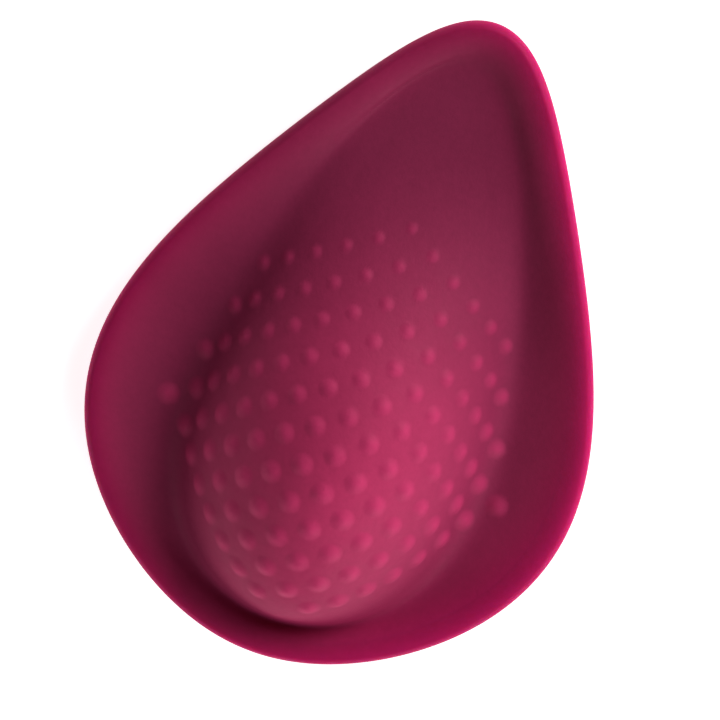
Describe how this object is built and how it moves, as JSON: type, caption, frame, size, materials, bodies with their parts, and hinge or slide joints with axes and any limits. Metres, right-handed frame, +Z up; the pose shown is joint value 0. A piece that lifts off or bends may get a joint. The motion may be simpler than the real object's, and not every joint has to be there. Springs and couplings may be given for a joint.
{
  "type": "silicone cupping cup",
  "caption": "Drop-shaped silicone cupping cup: a dished flange with a soft rolled lip round a hollow squeeze bulb with massage nubs.",
  "frame": {"origin": "centre of the outline's box, on the plane that the flat contact ring rests on", "axes": "+Y along the cup towards its narrow tip, +Z up out of the bulb, away from the skin, +X to the right"},
  "size_m": [0.07, 0.095, 0.0203],
  "materials": {
    "silicone_bulb": "satin raspberry silicone with raised nubs",
    "silicone_flange": "satin raspberry silicone, darker where it is thick",
    "silicone_lip": "satin magenta silicone that lets some light through its edge"
  },
  "bodies": {
    "rim": {"flange_skirt": "silicone_flange", "soft_lip": "silicone_lip", "bulb_wall": "silicone_bulb"},
    "crown": {"bulb_crown": "silicone_bulb"}
  },
  "joints": [
    {"name": "bulb_press", "type": "slide", "parent": "rim", "child": "crown", "axis": [0, 0, -1], "range_m": [0, 0.008], "stiffness_N_per_m": 800}
  ]
}
